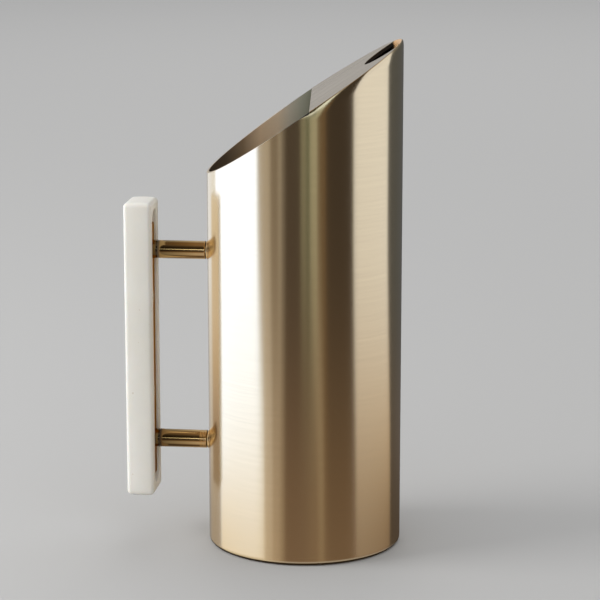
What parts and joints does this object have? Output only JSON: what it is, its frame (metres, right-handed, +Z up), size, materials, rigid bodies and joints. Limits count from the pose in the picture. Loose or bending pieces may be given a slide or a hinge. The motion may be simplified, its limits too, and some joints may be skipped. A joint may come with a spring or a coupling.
{
  "type": "water pitcher",
  "caption": "Straight-sided metal water pitcher with a slanted mouth, a pour guard with a round pour hole at its tip, and a stone grip bar held off the body by round posts.",
  "frame": {"origin": "centre of the base disc's underside, on the surface the pitcher stands on, on the tube's axis", "axes": "+Z up along the tube's axis; +X horizontally from the handle side towards the spout's tip; +Y completes a right-handed frame"},
  "size_m": [0.1431, 0.1, 0.2627],
  "materials": {
    "tube_metal": "brushed round the tube, pale champagne brass",
    "guard_metal": "brushed along the slope, pale champagne brass",
    "handle_metal": "polished, darker brass",
    "screw_metal": "turned, plain",
    "bar_stone": "honed ivory stone, faintly clouded"
  },
  "bodies": {
    "root": {"body_tube": "tube_metal", "base_disc": "tube_metal", "pour_guard": "guard_metal", "handle_bar": "bar_stone", "backing_strip": "handle_metal", "upper_post": "handle_metal", "lower_post": "handle_metal", "upper_collar": "handle_metal", "lower_collar": "handle_metal", "strip_screws": "screw_metal", "bar_inserts": "screw_metal"}
  },
  "joints": []
}
